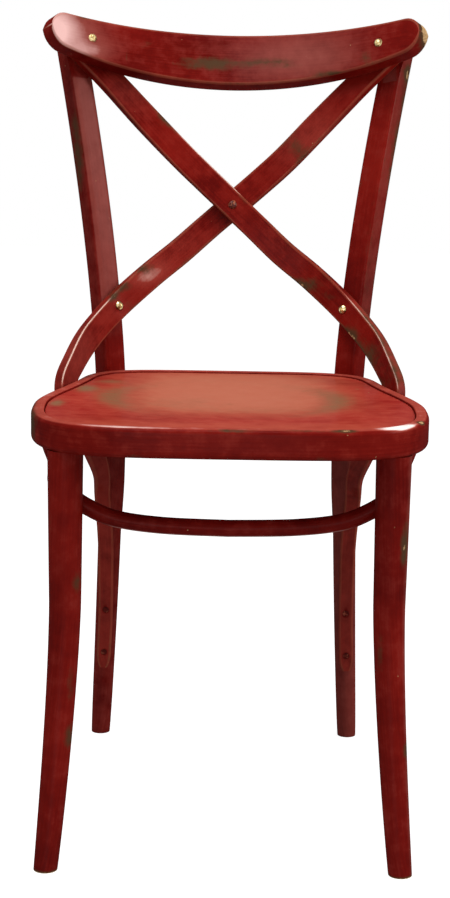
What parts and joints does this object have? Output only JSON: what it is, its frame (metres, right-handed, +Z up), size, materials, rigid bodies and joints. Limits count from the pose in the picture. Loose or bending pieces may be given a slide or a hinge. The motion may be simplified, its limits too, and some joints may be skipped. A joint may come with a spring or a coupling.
{
  "type": "wooden bistro chair",
  "caption": "Painted wooden dining chair with a round-cornered seat ring, dished panel, curved crest rail, crossed bent back strips, turned front legs and a bent front stretcher.",
  "frame": {"origin": "on the floor, below the middle of the chair's outer box", "axes": "+Z up, +X to the right seen from the front, front of the chair towards -Y"},
  "size_m": [0.453, 0.5, 0.8901],
  "materials": {
    "painted_frame": "worn satin dark red paint",
    "painted_strips": "worn satin dark red paint",
    "seat_panel": "rubbed satin red paint",
    "brass_screws": "polished, slightly aged",
    "painted_screw": "painted over with the frame",
    "dark_screws": "darkened steel"
  },
  "bodies": {
    "root": {"seat_ring": "painted_frame", "seat_panel": "seat_panel", "front_leg_left": "painted_frame", "front_leg_right": "painted_frame", "rear_post_left": "painted_frame", "rear_post_right": "painted_frame", "crest_rail": "painted_frame", "cross_strip_front": "painted_strips", "cross_strip_rear": "painted_strips", "front_stretcher": "painted_frame", "crest_screws": "brass_screws", "post_strip_screws": "brass_screws", "crossing_screw": "painted_screw", "seat_side_screws": "dark_screws", "lower_strip_screws": "dark_screws", "stretcher_screws": "dark_screws", "post_bolts": "dark_screws", "post_bolt_washers": "dark_screws", "post_bolt_nuts": "dark_screws"}
  },
  "joints": []
}
